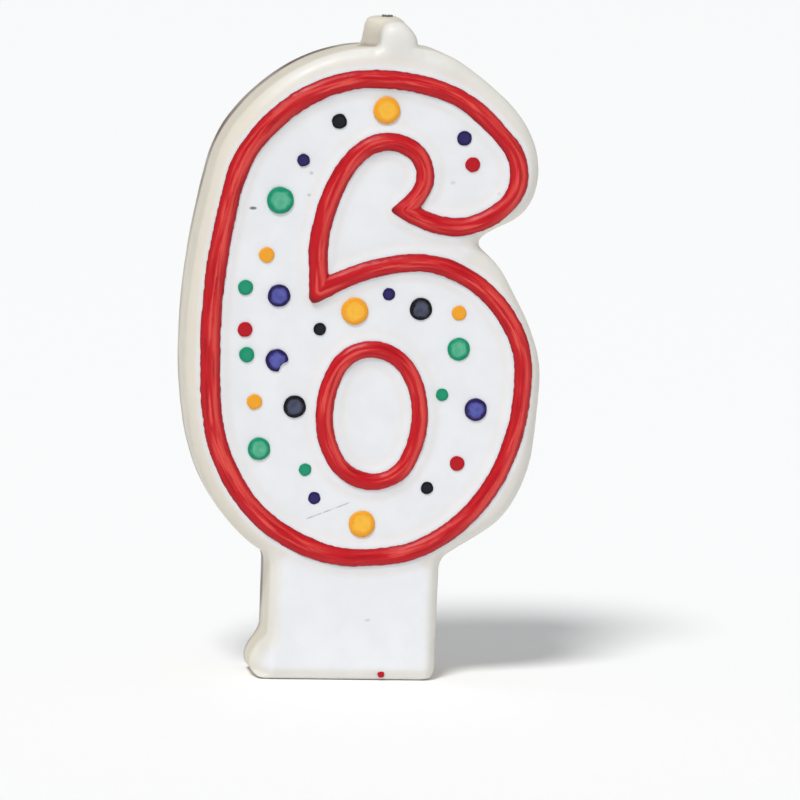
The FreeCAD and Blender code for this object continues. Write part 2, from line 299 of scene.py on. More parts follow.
def surface_marks(tree, place):
    """Masks of a hairline scratch under the counter and of the larger specks on the front."""
    flat = add(tree, SPLIT, links={0: place})
    front = add(tree, RANGE, SMOOTH, [flat.outputs[1], -4.0 * MM, -4.5 * MM]).outputs[0]
    # The scratch: a line from start to end, 0.15 mm wide, fading out at both ends.
    start, end = (Vector(point) * MM for point in SCRATCH)
    along = (end - start).normalized()
    dx = add(tree, MATH, MINUS, [flat.outputs[0], start.x]).outputs[0]
    dz = add(tree, MATH, MINUS, [flat.outputs[2], start.y]).outputs[0]
    run = add(tree, MATH, PLUS, [
        add(tree, MATH, TIMES, [dx, along.x]).outputs[0],
        add(tree, MATH, TIMES, [dz, along.y]).outputs[0]]).outputs[0]
    off = add(tree, MATH, MINUS, [
        add(tree, MATH, TIMES, [dz, along.x]).outputs[0],
        add(tree, MATH, TIMES, [dx, along.y]).outputs[0]]).outputs[0]
    width = add(tree, RANGE, SMOOTH, [
        add(tree, MATH, {"operation": "ABSOLUTE"}, [off]).outputs[0], 0.04 * MM, 0.11 * MM, 1.0,
        0.0]).outputs[0]
    begins = add(tree, RANGE, SMOOTH, [run, 0.0, 0.6 * MM]).outputs[0]
    ends = add(tree, RANGE, SMOOTH, [
        run, (end - start).length - 1.2 * MM, (end - start).length, 1.0, 0.0]).outputs[0]
    scratch = add(tree, MATH, TIMES, [
        width, add(tree, MATH, TIMES, [begins, ends]).outputs[0]]).outputs[0]
    scratch = add(tree, MATH, TIMES, [scratch, front]).outputs[0]
    skips = add(tree, NOISE, links={"Vector": place, "Scale": 1100.0, "Detail": 2.0}).outputs[0]
    skips = add(tree, RANGE, SMOOTH, [skips, 0.38, 0.56, 0.3, 1.0]).outputs[0]
    scratch = add(tree, MATH, TIMES, [scratch, skips]).outputs[0]
    # Each speck is a soft ellipse; the darkest one wins where they meet.
    specks = 0.0
    for x, z, half_width, half_height, strength in SPECKS:
        sx = add(tree, MATH, TIMES_PLUS, [
            flat.outputs[0], 1 / (half_width * MM), -x / half_width]).outputs[0]
        sz = add(tree, MATH, TIMES_PLUS, [
            flat.outputs[2], 1 / (half_height * MM), -z / half_height]).outputs[0]
        away = add(tree, MATH, PLUS, [
            add(tree, MATH, TIMES, [sx, sx]).outputs[0],
            add(tree, MATH, TIMES, [sz, sz]).outputs[0]]).outputs[0]
        specks = add(tree, MATH, {"operation": "MAXIMUM"}, [
            specks,
            add(tree, RANGE, SMOOTH, [away, 0.2, 1.2, strength, 0.0]).outputs[0]]).outputs[0]
    return scratch, add(tree, MATH, TIMES, [specks, front]).outputs[0]


def brushed_red_wax():
    """Red wax brushed on by hand: streaked along the stroke, with a painted highlight along the
    crown and painted shade at the edges.
    """
    material, tree = new_material("brushed_red_wax")
    c = colours()
    stroke = add(tree, "ShaderNodeAttribute", {"attribute_name": "stroke"}).outputs["Vector"]
    place = add(tree, "ShaderNodeTexCoord").outputs["Object"]
    across = add(tree, SPLIT, links={0: stroke}).outputs[2]
    # Bristle streaks, 0.3 mm apart across the bead and 5 mm long along it.
    stretched = add(tree, "ShaderNodeMapping", links={
        "Vector": stroke, "Scale": (0.20, 0.20, 3.6)}).outputs[0]
    streaks = add(tree, NOISE, links={"Vector": stretched, "Scale": 1.0, "Detail": 4.0}).outputs[0]
    broad = add(tree, "ShaderNodeMapping", links={
        "Vector": stroke, "Scale": (0.10, 0.10, 1.3)}).outputs[0]
    patches = add(tree, NOISE, links={"Vector": broad, "Scale": 1.0, "Detail": 2.0}).outputs[0]
    light = add(tree, MATH, TIMES, [
        add(tree, RANGE, SMOOTH, [streaks, 0.45, 0.66]).outputs[0],
        add(tree, RANGE, SMOOTH, [patches, 0.40, 0.60]).outputs[0]]).outputs[0]
    # Painted highlight: the pale brush streaks are kept to the crown, fading towards the feet.
    side = add(tree, MATH, {"operation": "ABSOLUTE"}, [across]).outputs[0]
    crown = add(tree, RANGE, SMOOTH, [side, 0.15, 0.85, 1.0, 0.0]).outputs[0]
    light = add(tree, MATH, TIMES, [light, crown]).outputs[0]
    # Painted highlight: on the upright runs one long pale stripe lies to the right of the crown.
    highlight_stripe = add(tree, "ShaderNodeAttribute", {"attribute_name": "highlight_stripe"}).outputs["Fac"]
    broken = add(tree, RANGE, SMOOTH, [streaks, 0.36, 0.54, 0.35, 0.85]).outputs[0]
    highlight_stripe = add(tree, MATH, TIMES, [highlight_stripe, broken]).outputs[0]
    light = add(tree, MATH, {"operation": "MAXIMUM"}, [light, highlight_stripe]).outputs[0]
    colour = add(tree, MIX, TINT, {
        0: add(tree, MATH, TIMES, [light, 0.75]).outputs[0], 6: rgba(c.red),
        7: rgba(c.red_light)}).outputs[2]
    groove = add(tree, RANGE, SMOOTH, [streaks, 0.44, 0.30, 0.0, 0.55]).outputs[0]
    colour = add(tree, MIX, TINT, {0: groove, 6: colour, 7: rgba(c.red_dark)}).outputs[2]
    # Painted shade: the bead darkens towards both feet.
    edge = add(tree, RANGE, SMOOTH, [side, 0.55, 1.1]).outputs[0]
    edge = add(tree, MATH, TIMES, [
        edge, add(tree, RANGE, SMOOTH, [streaks, 0.25, 0.6, 0.45, 0.8]).outputs[0]]).outputs[0]
    colour = add(tree, MIX, TINT, {0: edge, 6: colour, 7: rgba(c.red_dark)}).outputs[2]

    grain = add(tree, NOISE, links={"Vector": place, "Scale": 1600.0, "Detail": 2.0}).outputs[0]
    relief = add(tree, MATH, TIMES_PLUS, [grain, 0.3, streaks]).outputs[0]
    bump = add(tree, BUMP, links={"Height": relief, "Strength": 0.45, "Distance": 0.10 * MM})
    rough = add(tree, RANGE, SMOOTH, [streaks, 0.3, 0.7, 0.30, 0.46]).outputs[0]
    return finish_material(material, {
        "Base Color": colour, "Normal": bump.outputs[0], "Roughness": rough, "IOR": 1.45,
        "Specular IOR Level": 0.3, "Subsurface Weight": 0.10,
        "Subsurface Radius": (1.0, 0.1, 0.1), "Subsurface Scale": 0.4 * MM})


def dabbed_wax(name, rim_colour, pale_middle_colour):
    """Coloured wax dabbed on with a round tip: thick dark rim, and a paler middle that is partly
    thinner paint and partly a painted highlight.
    """
    material, tree = new_material(name)
    rim = add(tree, "ShaderNodeAttribute", {"attribute_name": "rim"}).outputs["Fac"]
    place = add(tree, "ShaderNodeTexCoord").outputs["Object"]
    blotch = add(tree, NOISE, links={"Vector": place, "Scale": 1300.0, "Detail": 2.0}).outputs[0]
    wear_and_highlight = add(tree, "ShaderNodeAttribute", {"attribute_name": "wear_and_highlight"}).outputs["Fac"]
    # The paler middle, kept inside the ragged rim, is partly thinner paint and partly a painted
    # highlight.
    edge = add(tree, MATH, TIMES_PLUS, [blotch, 0.6, rim]).outputs[0]
    worn_and_lit = add(tree, RANGE, SMOOTH, [edge, 0.82, 1.12, 1.0, 0.0]).outputs[0]
    worn_and_lit = add(tree, MATH, TIMES, [
        worn_and_lit, add(tree, RANGE, SMOOTH, [blotch, 0.35, 0.6, 0.7, 1.0]).outputs[0]]).outputs[0]
    worn_and_lit = add(tree, MATH, TIMES, [worn_and_lit, wear_and_highlight]).outputs[0]
    colour = add(tree, MIX, TINT, {0: worn_and_lit, 6: rgba(rim_colour), 7: rgba(pale_middle_colour)}).outputs[2]
    bump = add(tree, BUMP, links={"Height": blotch, "Strength": 0.3, "Distance": 0.08 * MM})
    rough = add(tree, RANGE, SMOOTH, [blotch, 0.3, 0.7, 0.32, 0.48]).outputs[0]
    return finish_material(material, {
        "Base Color": colour, "Normal": bump.outputs[0], "Roughness": rough, "IOR": 1.45,
        "Specular IOR Level": 0.25, "Subsurface Weight": 0.05, "Subsurface Scale": 0.3 * MM})


def waxed_cotton():
    """Braided cotton soaked in wax: cream, dull, with a greyed trimmed tip."""
    material, tree = new_material("waxed_cotton")
    c = colours()
    place = add(tree, "ShaderNodeTexCoord").outputs["Object"]
    height = add(tree, SPLIT, links={0: place}).outputs[2]
    tip_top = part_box("wick")[1][2]
    tip = add(tree, RANGE, SMOOTH, [height, tip_top - 1.0 * MM, tip_top - 0.1 * MM]).outputs[0]
    fibres = add(tree, NOISE, links={"Vector": place, "Scale": 5000.0, "Detail": 3.0}).outputs[0]
    colour = add(tree, MIX, TINT, {0: tip, 6: rgba(c.cotton), 7: rgba(c.cotton_tip)}).outputs[2]
    colour = add(tree, MIX, SHADE, {
        0: 1.0, 6: colour,
        7: add(tree, RANGE, SMOOTH, [fibres, 0.3, 0.7, 0.75, 1.0]).outputs[0]}).outputs[2]
    bump = add(tree, BUMP, links={"Height": fibres, "Strength": 0.5, "Distance": 0.05 * MM})
    return finish_material(material, {
        "Base Color": colour, "Normal": bump.outputs[0], "Roughness": 0.75, "Sheen Weight": 0.2})


def floor_paper():
    """Plain pale matt floor."""
    material, tree = new_material("floor_paper")
    return finish_material(material, {
        "Base Color": rgba(colours().paper), "Roughness": 0.9})


# -------------------------------------------------------------- shared shapes
def heading(degrees):
    return Vector((math.cos(math.radians(degrees)), math.sin(math.radians(degrees))))


def arc_points(start, leave, end, spacing):
    """Points along the arc that leaves start in the direction leave, up to but without end."""
    chord = end - start
    side = Vector((-leave.y, leave.x))
    bulge = 2 * chord.dot(side)
    if abs(bulge) < 1e-7:
        count = max(1, round(chord.length / spacing))
        return [start + chord * (i / count) for i in range(count)]
    radius = chord.dot(chord) / bulge
    centre = start + side * radius
    turn = 2 * math.asin(max(-1.0, min(1.0, chord.length / (2 * radius))))
    count = max(1, round(abs(turn * radius) / spacing))
    points = []
    for i in range(count):
        angle = turn * i / count
        arm = start - centre
        points.append(centre + Vector((arm.x * math.cos(angle) - arm.y * math.sin(angle),
                                       arm.x * math.sin(angle) + arm.y * math.cos(angle))))
    return points


def centre_line(stations, spacing=0.15):
    """Evenly spaced points, in millimetres, of the closed line through the stations."""
    points = []
    for here, there in zip(stations, stations[1:] + stations[:1]):
        start, end = Vector(here[:2]), Vector(there[:2])
        leave, arrive = heading(here[-1]), heading(there[2])
        chord, both = end - start, leave + arrive
        along, spread = chord.dot(both), 2 * (1 - leave.dot(arrive))
        if spread < 1e-9:
            reach = chord.dot(chord) / (4 * chord.dot(arrive))
        else:
            reach = (math.sqrt(along ** 2 + spread * chord.dot(chord)) - along) / spread
        middle = (start + end + (leave - arrive) * reach) / 2
        points += arc_points(start, leave, middle, spacing)
        second = arc_points(end, -arrive, middle, spacing)
        points += [middle] + second[:0:-1]
    return points


def line_tree(points):
    tree = kdtree.KDTree(len(points))
    for i, p in enumerate(points):
        tree.insert((p.x, p.y, 0), i)
    tree.balance()
    return tree


def smooth_step(low, high, value):
    """0 at low, 1 at high, with a gentle start and end; low may be above high."""
    t = max(0.0, min(1.0, (value - low) / (high - low)))
    return t * t * (3 - 2 * t)


def fine_copy(node, name, voxel, smoothing, extras=()):
    """A voxel-remeshed and smoothed copy of a CAD node, with extra closed meshes joined in."""
    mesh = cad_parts[node].data.copy()
    mesh.name = name
    piece = bpy.data.objects.new(name, mesh)
    bpy.context.scene.collection.objects.link(piece)
    edit_mesh(mesh, lambda work: bmesh.ops.remove_doubles(work, verts=work.verts, dist=1e-7))
    for extra in extras:
        edit_mesh(mesh, lambda work: work.from_mesh(extra))
    remesh = piece.modifiers.new("Remesh", "REMESH")
    remesh.mode = "VOXEL"
    remesh.voxel_size = voxel
    soften = piece.modifiers.new("Soften", "SMOOTH")
    soften.factor = 0.5
    soften.iterations = smoothing
    apply_modifiers(piece)
    return piece


def edit_mesh(mesh, change):
    """Reads a mesh into a bmesh, calls change with it and writes it back."""
    work = bmesh.new()
    work.from_mesh(mesh)
    change(work)
    work.to_mesh(mesh)
    work.free()


def recalculate_normals(mesh):
    edit_mesh(mesh, lambda work: bmesh.ops.recalc_face_normals(work, faces=work.faces))


def apply_modifiers(piece):
    """Turns the evaluated object into its plain mesh and removes the modifiers."""
    graph = bpy.context.evaluated_depsgraph_get()
    mesh = bpy.data.meshes.new_from_object(piece.evaluated_get(graph), depsgraph=graph)
    mesh.name = piece.name
    old = piece.data
    piece.modifiers.clear()
    piece.data = mesh
    bpy.data.meshes.remove(old)


def finish_piece(piece, material, slot_name, *nodes):
    """Smooth shading, one material, and the calls that tie a piece to the frame."""
    piece.data.materials.clear()
    piece.data.materials.append(material)
    for polygon in piece.data.polygons:
        polygon.use_smooth = True
    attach(piece, BODY)
    if nodes:
        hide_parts(*nodes)


def add_values(mesh, name, values):
    attribute = mesh.attributes.new(name, "FLOAT", "POINT")
    attribute.data.foreach_set("value", values)


# ------------------------------------------------------------------- the wax
def stub_block():
    """The part of the wick stub that is level with the front face: a rounded block."""
    work = bmesh.new()
    bmesh.ops.create_icosphere(work, subdivisions=5, radius=1.0)
    for vertex in work.verts:
        swell = sum(abs(c) ** STUB_SQUARENESS for c in vertex.co) ** (1 / STUB_SQUARENESS)
        vertex.co = (STUB_CENTRE + vertex.co * STUB_RADII / swell) * MM
    mesh = bpy.data.meshes.new("stub_block")
    work.to_mesh(mesh)
    work.free()
    return mesh


class CANDLE_OT_wax_casting(bpy.types.Operator):
    """Make the white casting: slab, stem, foot lip and wick stub in one piece of wax"""
    bl_idname = "candle.wax_casting"
    bl_label = "Wax casting"

    def execute(self, context):
        block = stub_block()
        piece = fine_copy("wax_body", "wax_casting", sizes().wax_voxel, 6, [block])
        bpy.data.meshes.remove(block)
        shape_casting(piece.data)
        finish_piece(piece, paraffin_wax(), "wax_white", "wax_body")
        return {"FINISHED"}


def shape_casting(mesh):
    """Moves the casting's points, and stores the bead_gap and the two masks of painted shade, at
    the side walls and at the back edge, for its material.
    """
    s = sizes()
    low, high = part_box("wax_body")
    front, back = low[1] / MM, high[1] / MM
    wick_x = (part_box("wick")[0][0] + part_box("wick")[1][0]) / 2 / MM
    nearest_line = line_tree(centre_line(OUTLINE_STATIONS) + centre_line(COUNTER_STATIONS))
    places = [vertex.co.copy() for vertex in mesh.vertices]
    normals = [vertex.normal.copy() for vertex in mesh.vertices]
    rim = [Vector((co.x, co.z)) / MM for co, normal in zip(places, normals)
           if abs(normal.y) < 0.3 and math.hypot(co.x / MM - wick_x, co.y / MM) > BORE_ZONE]
    nearest_rim = line_tree(rim[::5])
    side_shades, gaps, painted_edge_shades = [], [], []
    for vertex, co, normal in zip(mesh.vertices, places, normals):
        x, y, z = co / MM
        inset = nearest_rim.find((x, z, 0))[2]
        gap = nearest_line.find((x, z, 0))[2] - BEAD_WIDTH / 2
        on_stub = smooth_step(STUB_FOOT - 0.6, STUB_FOOT + 0.4, z)
        by_stub = smooth_step(0.2, 1.2, x) * smooth_step(6.4, 5.4, x) * smooth_step(72.0, 74.0, z)
        wave = noise.noise(co / (9 * MM)) + 0.4 * noise.noise(co / (3 * MM) + Vector((7, 3, 1)))
        move = normal * (wave * s.wax_wave)
        # The wax rises softly against a bead and falls away at the rim.
        near_front = smooth_step(front + 2.5, front, y)
        move.y -= smooth_step(1.3, 0.0, gap) * s.bead_swell * smooth_step(front + 0.6, front, y)
        off_stub = 1.0 - max(on_stub, by_stub)
        move.y += smooth_step(1.7, 0.0, inset) ** 2 * s.edge_round * near_front * off_stub
        # The poured back has shrunk.
        ripple = noise.noise(Vector((x / 5, 2.0, z / 5))) * 0.12 * smooth_step(1.0, 4.0, inset)
        sunk = smooth_step(0.9, 5.5, inset) * s.back_sink + ripple * MM
        move.y -= sunk * smooth_step(back - 0.6, back, y)
        # The stub slopes down to the right, and the foot lip is a soft blob.
        move.z -= on_stub * smooth_step(3.2, 6.0, x) * STUB_SLOPE * (co.z - STUB_FOOT * MM)
        lip = smooth_step(-9.4, -11.2, x) * smooth_step(8.0, 4.0, z)
        move.y -= lip * (y + 0.5) / 5.0 * LIP_THINNING * MM
        # The foot stays flat, and nothing leaves the solid model's box.
        co += move * smooth_step(0.2, 1.0, z)
        vertex.co = [max(least, min(most, value)) for least, most, value in zip(*CAD_BOX, co)]

        # Painted shade: the side walls are painted fully cream, the back half as much, the front
        # not at all.
        facing = smooth_step(0.25, 0.85, abs(normal.y))
        # Painted shade: outside the outline bead the front is as creamy as the edge, but paler,
        # and creamier on the left.
        margin_shade = smooth_step(3.6, 2.7, inset + gap) * smooth_step(0.1, 0.8, gap)
        margin_shade = max(margin_shade, smooth_step(1.9, 0.6, inset))
        margin_shade *= 0.5 + 0.35 * smooth_step(-8.0, -15.0, x)
        cream_shade = max(1.0 - facing * (1.0 if normal.y < 0 else 0.5), margin_shade)
        # Painted shade: the stub's front block is pale all round, its recessed left part tan.
        stub_side_shade = 0.45 + 0.45 * smooth_step(-3.9, -3.3, y)
        side_shades.append(cream_shade + (stub_side_shade - cream_shade) * on_stub)
        gaps.append(gap)
        # Painted shadow in brown on the back edge, heaviest at the top left and beside the stem.
        by_stem = smooth_step(6.0, 10.0, z) * smooth_step(22.0, 14.0, z)
        heavy = max(by_stem, smooth_step(50.0, 66.0, z))
        on_left = smooth_step(4.0, 0.0, x)
        starts = back - 2.9 - 0.7 * heavy * on_left
        back_edge_shadow = smooth_step(starts, starts + 1.0, y) * (1.0 - smooth_step(0.5, 0.95, normal.y))
        back_edge_shadow *= 0.2 + (0.25 + 0.5 * heavy) * on_left
        # A painted brown crease shadow and painted tan shade where the stub's left part meets the
        # slab.
        ring = smooth_step(0.7, 0.3, abs(math.hypot(x - wick_x, y) - 3.2))
        crease_shadow = smooth_step(0.6, 0.2, abs(z - STUB_FOOT - 0.1)) * ring * 0.5
        stub_left_shade = smooth_step(0.0, 0.5, z - STUB_FOOT) * smooth_step(79.0, 76.5, z) * 0.22
        stub_shadow = max(crease_shadow, stub_left_shade)
        stub_shadow *= smooth_step(2.2, 1.2, x) * smooth_step(0.5, -1.0, y) * smooth_step(-4.4, -3.9, y)
        painted_edge_shades.append(max(back_edge_shadow, stub_shadow))
    for name, values in (("side", side_shades), ("bead_gap", gaps), ("painted_edge_shade", painted_edge_shades)):
        add_values(mesh, name, values)


# ----------------------------------------------------------------- the beads
def shape_bead(mesh, stations):
    """Gives a bead its uneven width and ragged edge, and stores its stroke map and a stripe of
    painted highlight.

    The stroke map winds the way along the bead round a circle, so that it closes without a
    seam, and holds the way across it, from -1 at one foot to 1 at the other, as its third value.
    """
    s = sizes()
    points = centre_line(stations)
    nearest = line_tree(points)
    count = len(points)
    length = sum((points[i] - points[i - 1]).length for i in range(count))
    half_bead = BEAD_WIDTH / 2
    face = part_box("outline_bead")[1][1]
    corners = [Vector(station[:2]) for station in stations if len(station) == 4]
    strokes, highlight_stripes = [], []
    for vertex in mesh.vertices:
        co = vertex.co.copy()
        flat = Vector((co.x, co.z)) / MM
        index = nearest.find((flat.x, flat.y, 0))[1]
        tangent = (points[(index + 1) % count] - points[index - 1]).normalized()
        offset = flat - points[index]
        side = tangent.x * offset.y - tangent.y * offset.x
        turn = 2 * math.pi * index / count
        winding = length / (2 * math.pi)
        away = offset.length
        across = math.copysign(min(1.1, away / half_bead), side)
        strokes += [winding * math.cos(turn), winding * math.sin(turn), across]
        # Painted highlight: a pale stripe right of the centre line on the upright runs.
        upright = smooth_step(0.45, 0.85, abs(tangent.y))
        highlight_stripes.append(upright * smooth_step(0.34, 0.06, abs(offset.x / half_bead - 0.32)))
        if away > 1e-6:
            # A blunt point where the solid model has a mitre, fuller on the left of the numeral.
            excess = max(0.0, away - POINT_REACH)
            blunted = away - 0.6 * excess ** 2 / (excess + 0.2)
            to_corner = min(((flat - corner).length for corner in corners), default=math.inf)
            slow = noise.noise(Vector((flat.x / 4, flat.y / 4, 3.0)))
            fast = noise.noise(Vector((flat.x / 0.75, flat.y / 0.75, 9.0)))
            fuller = 0.07 + 0.11 * smooth_step(2.0, -8.0, flat.x)
            fuller += 0.10 * smooth_step(2.5, 0.5, to_corner)
            wander = (slow + 0.6 * fast) * s.bead_wobble / MM / half_bead
            grown = blunted * (1.0 + fuller + wander) - away
            co.x += offset.x / away * grown * MM
            co.z += offset.y / away * grown * MM
        rise = (face - co.y) / MM
        lumpy = noise.noise(Vector((flat.x / 2.5, flat.y / 2.5, 5.0)))
        co.y = face - (rise + 0.10 * (lumpy - 0.5) * smooth_step(0.1, 0.6, rise)) * MM
        if rise < 0.05:
            co.y = face + 0.15 * MM
        vertex.co = co
    attribute = mesh.attributes.new("stroke", "FLOAT_VECTOR", "POINT")
    attribute.data.foreach_set("vector", strokes)
    add_values(mesh, "highlight_stripe", highlight_stripes)


class CANDLE_OT_red_beads(bpy.types.Operator):
    """Make the red outline bead and the red ring around the counter"""
    bl_idname = "candle.red_beads"
    bl_label = "Red beads"

    def execute(self, context):
        material = brushed_red_wax()
        for node, stations in (("outline_bead", OUTLINE_STATIONS),
                               ("counter_bead", COUNTER_STATIONS)):
            piece = fine_copy(node, "red_" + node, sizes().bead_voxel, 8)
            shape_bead(piece.data, stations)
            finish_piece(piece, material, "wax_red", node)
        return {"FINISHED"}


# ------------------------------------------------------------ geometry trees
def new_tree(name, inputs):
    """An empty Geometry Nodes tree with these inputs, a name and a kind each, and its sockets."""
    tree = bpy.data.node_groups.new(name, "GeometryNodeTree")
    tree.interface.new_socket("Geometry", in_out="OUTPUT", socket_type="NodeSocketGeometry")
    for label, kind in inputs.items():
        tree.interface.new_socket(label, in_out="INPUT", socket_type="NodeSocket" + kind)
    return tree, add(tree, "NodeGroupInput").outputs


def finish_tree(tree, geometry, material):
    """Ends a tree with real geometry, its material and the output."""
    real = add(tree, "GeometryNodeRealizeInstances", links=[geometry])
    dressed = add(tree, "GeometryNodeSetMaterial", links={
        "Geometry": real.outputs[0], "Material": material})
    add(tree, "NodeGroupOutput", links=[dressed.outputs[0]])
    return tree


def grow(name, tree, values):
    """An object made by a Geometry Nodes tree, turned into a plain mesh."""
    piece = bpy.data.objects.new(name, bpy.data.meshes.new(name))
    bpy.context.scene.collection.objects.link(piece)
    modifier = piece.modifiers.new(tree.name, "NODES")
    modifier.node_group = tree
    sockets = {item.name: item.identifier
               for item in tree.interface.items_tree if item.in_out == "INPUT"}
    for key, value in values.items():
        modifier[sockets[key]] = value
    apply_modifiers(piece)
    if not piece.data.polygons:
        raise RuntimeError("no faces in " + name)
    return piece


# ------------------------------------------------------------------ the dots
def dot_tree():
    """Geometry Nodes tree of one dabbed dot: a flat-topped dome with a ragged rim."""
    tree, given = new_tree("Wax dot", {
        "Place": "Vector", "Radius": "Float", "Height": "Float", "Embed": "Float",
        "Ragged": "Float", "Chip": "Float", "Wear_and_highlight": "Float", "Seed": "Float",
        "Material": "Material"})
    sphere = add(tree, "GeometryNodeMeshUVSphere", links={
        "Segments": 48, "Rings": 28, "Radius": 1.0})
    unit = add(tree, "GeometryNodeInputPosition").outputs[0]
    axis = add(tree, SPLIT, links={0: unit}).outputs
    out = add(tree, MATH, {"operation": "SQRT"}, [
        add(tree, MATH, PLUS, [
            add(tree, MATH, {"operation": "POWER"}, [axis[0], 2.0]).outputs[0],
            add(tree, MATH, {"operation": "POWER"}, [
                axis[1], 2.0]).outputs[0]]).outputs[0]]).outputs[0]
    ring = add(tree, JOIN, links={0: axis[0], 1: axis[1], 2: 0.0}).outputs[0]
    rag = add(tree, NOISE, {"noise_dimensions": "4D"}, {
        "Vector": ring, "W": given["Seed"], "Scale": 1.3, "Detail": 2.0}).outputs[0]
    rag = add(tree, MATH, TIMES, [
        add(tree, MATH, MINUS, [rag, 0.5]).outputs[0], given["Ragged"]]).outputs[0]
    # The chip is a bite out of the lower right of the rim.
    bite = add(tree, VECTOR, {"operation": "DISTANCE"}, {0: ring, 1: (0.80, -0.72, 0.0)})
    bite = add(tree, RANGE, SMOOTH, [bite.outputs["Value"], 0.25, 0.75, 1.0, 0.0]).outputs[0]
    bite = add(tree, MATH, TIMES, [bite, given["Chip"]]).outputs[0]
    scale = add(tree, MATH, PLUS, [rag, 1.0]).outputs[0]
    scale = add(tree, MATH, MINUS, [
        scale, add(tree, MATH, TIMES, [bite, 0.42]).outputs[0]]).outputs[0]
    scale = add(tree, MATH, TIMES, [scale, given["Radius"]]).outputs[0]
    # A flat top with a round shoulder, a little hollow in the middle.
    crown = add(tree, MATH, {"operation": "POWER"}, [
        add(tree, MATH, {"operation": "MAXIMUM"}, [axis[2], 0.0]).outputs[0], 0.45]).outputs[0]
    hollow = add(tree, RANGE, SMOOTH, [out, 0.0, 0.8, 0.80, 1.0]).outputs[0]
    crown = add(tree, MATH, TIMES, [
        add(tree, MATH, TIMES, [crown, hollow]).outputs[0], given["Height"]]).outputs[0]
    under = add(tree, MATH, {"operation": "LESS_THAN"}, [axis[2], 0.001]).outputs[0]
    rise = add(tree, MATH, MINUS, [
        crown, add(tree, MATH, TIMES, [under, given["Embed"]]).outputs[0]]).outputs[0]
    local = add(tree, JOIN, links={
        0: add(tree, MATH, TIMES, [axis[0], scale]).outputs[0],
        1: add(tree, MATH, TIMES, [rise, -1.0]).outputs[0],
        2: add(tree, MATH, TIMES, [axis[1], scale]).outputs[0]}).outputs[0]
    stored = sphere
    for name, value in (("rim", out), ("wear_and_highlight", given["Wear_and_highlight"])):
        stored = add(
            tree, "GeometryNodeStoreNamedAttribute", {"data_type": "FLOAT", "domain": "POINT"},
            {"Geometry": stored.outputs[0], "Name": name, "Value": value})
    moved = add(tree, "GeometryNodeSetPosition", links={
        "Geometry": stored.outputs[0],
        "Position": add(tree, VECTOR, PLUS, {0: local, 1: given["Place"]}).outputs[0]})
    return finish_tree(tree, moved.outputs[0], given["Material"])


class CANDLE_OT_wax_dots(bpy.types.Operator):
    """Make the 28 dabbed dots and the stray fleck of red on the stem"""
    bl_idname = "candle.wax_dots"
    bl_label = "Wax dots"

    def execute(self, context):
        c = colours()
        materials = {
            "yellow": dabbed_wax("dabbed_yellow_wax", c.yellow, c.yellow_light),
            "green": dabbed_wax("dabbed_green_wax", c.green, c.green_light),
            "blue": dabbed_wax("dabbed_navy_wax", c.blue, c.blue_light),
            "black": dabbed_wax("dabbed_black_wax", c.black, c.black_light),
            "red": dabbed_wax("dabbed_red_wax", c.dot_red, c.dot_red_light),
        }
        tree = dot_tree()
        chance = random.Random(6)
        for node in sorted(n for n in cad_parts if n.startswith("dot_")):
            low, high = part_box(node)
            colour = node.split("_")[2]
            radius = (high[0] - low[0]) / 2
            piece = grow("wax_" + node, tree, {
                "Place": ((low[0] + high[0]) / 2, high[1], (low[2] + high[2]) / 2),
                "Radius": radius,
                "Height": high[1] - low[1],
                "Embed": sizes().dot_embed,
                "Ragged": 0.16 if radius > WORN_AND_LIT_DOT * MM else 0.26,
                "Chip": 1.0 if node == CHIPPED_DOT else 0.0,
                "Wear_and_highlight": 0.95 if radius > WORN_AND_LIT_DOT * MM else 0.12,
                "Seed": chance.uniform(0, 50),
                "Material": materials[colour],
            })
            recalculate_normals(piece.data)
            finish_piece(piece, materials[colour], "wax_" + colour, node)
        fleck = grow("red_fleck", tree, {
            "Place": (3.55 * MM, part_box("wax_body")[0][1] + 0.10 * MM, 0.75 * MM),
            "Radius": 0.40 * MM, "Height": 0.12 * MM, "Embed": 0.3 * MM, "Ragged": 0.9,
            "Chip": 0.0, "Wear_and_highlight": 0.0, "Seed": 3.0, "Material": materials["red"]})
        recalculate_normals(fleck.data)
        finish_piece(fleck, materials["red"], "wax_red")
        return {"FINISHED"}


